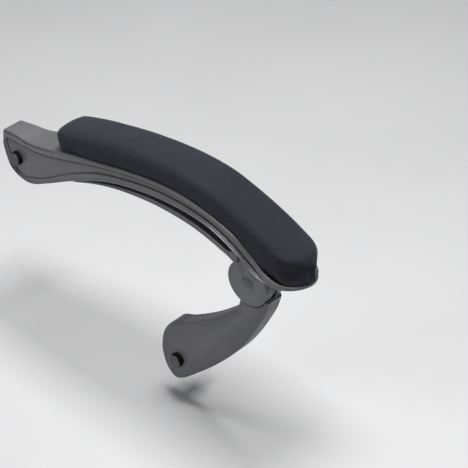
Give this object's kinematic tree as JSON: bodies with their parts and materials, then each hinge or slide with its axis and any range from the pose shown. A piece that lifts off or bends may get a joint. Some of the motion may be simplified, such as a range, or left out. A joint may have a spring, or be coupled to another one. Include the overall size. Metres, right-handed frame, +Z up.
{
  "type": "linkage chair armrest",
  "caption": "Padded linkage armrest for a reclining chair: a cushioned upper arm hinged by a knuckle to a curved lower link, with a pivot bolt at each end.",
  "frame": {"origin": "axis of the backrest bolt, in the plane of the chair's bracket face", "axes": "+X forward along the arm, +Y towards the seat along both pivot bolts, +Z up"},
  "size_m": [0.4595, 0.0805, 0.2985],
  "materials": {
    "shell_plastic": "fine moulded texture",
    "link_plastic": "fine moulded texture",
    "knuckle_plastic": "fine moulded texture",
    "cap_plastic": "smooth",
    "spacer_plastic": "smooth",
    "cloth": "close woven cloth",
    "foam": "cut foam",
    "board": "plywood",
    "painted_steel": "black powder coat",
    "zinc_steel": "zinc plated",
    "black_steel": "black oxide",
    "nylon": "natural nylon"
  },
  "bodies": {
    "upper_arm": {"arm_upper_shell": "shell_plastic", "arm_lower_cover": "shell_plastic", "arm_plate_outer": "painted_steel", "arm_plate_inner": "painted_steel", "plate_spacers": "zinc_steel", "lower_cover_screws": "black_steel", "pad_board": "board", "pad_foam": "foam", "pad_cover": "cloth", "pad_screws": "black_steel", "pad_tee_nuts": "zinc_steel", "backrest_bush": "nylon", "knuckle_cover_outer": "knuckle_plastic", "knuckle_cover_inner": "knuckle_plastic", "knuckle_cover_screws": "black_steel", "knuckle_bolt": "black_steel", "knuckle_nut": "zinc_steel", "knuckle_cap": "knuckle_plastic", "knuckle_washers": "nylon"},
    "link": {"link_outer_shell": "link_plastic", "link_inner_shell": "link_plastic", "link_plate": "painted_steel", "link_screws": "black_steel", "knuckle_bush": "nylon", "seat_bush": "nylon"},
    "backrest_fixing": {"backrest_bolt": "black_steel", "backrest_bolt_cap": "cap_plastic", "backrest_washer": "zinc_steel", "backrest_sleeve": "zinc_steel", "backrest_spacer": "spacer_plastic"},
    "seat_fixing": {"seat_bolt": "black_steel", "seat_bolt_cap": "cap_plastic", "seat_washer": "zinc_steel", "seat_sleeve": "zinc_steel", "seat_spacer": "spacer_plastic"}
  },
  "joints": [
    {"name": "knuckle_hinge", "type": "hinge", "parent": "upper_arm", "child": "link", "pos_m": [0.357, -0.035, -0.004], "axis": [0, -1, 0], "range_deg": [-10, 40]},
    {"name": "backrest_hinge", "type": "hinge", "parent": "upper_arm", "child": "backrest_fixing", "pos_m": [0, -0.035, 0], "axis": [0, -1, 0], "range_deg": [-5, 50]},
    {"name": "seat_hinge", "type": "hinge", "parent": "link", "child": "seat_fixing", "pos_m": [0.252, -0.035, -0.164], "axis": [0, -1, 0], "range_deg": [-65, 5]}
  ]
}
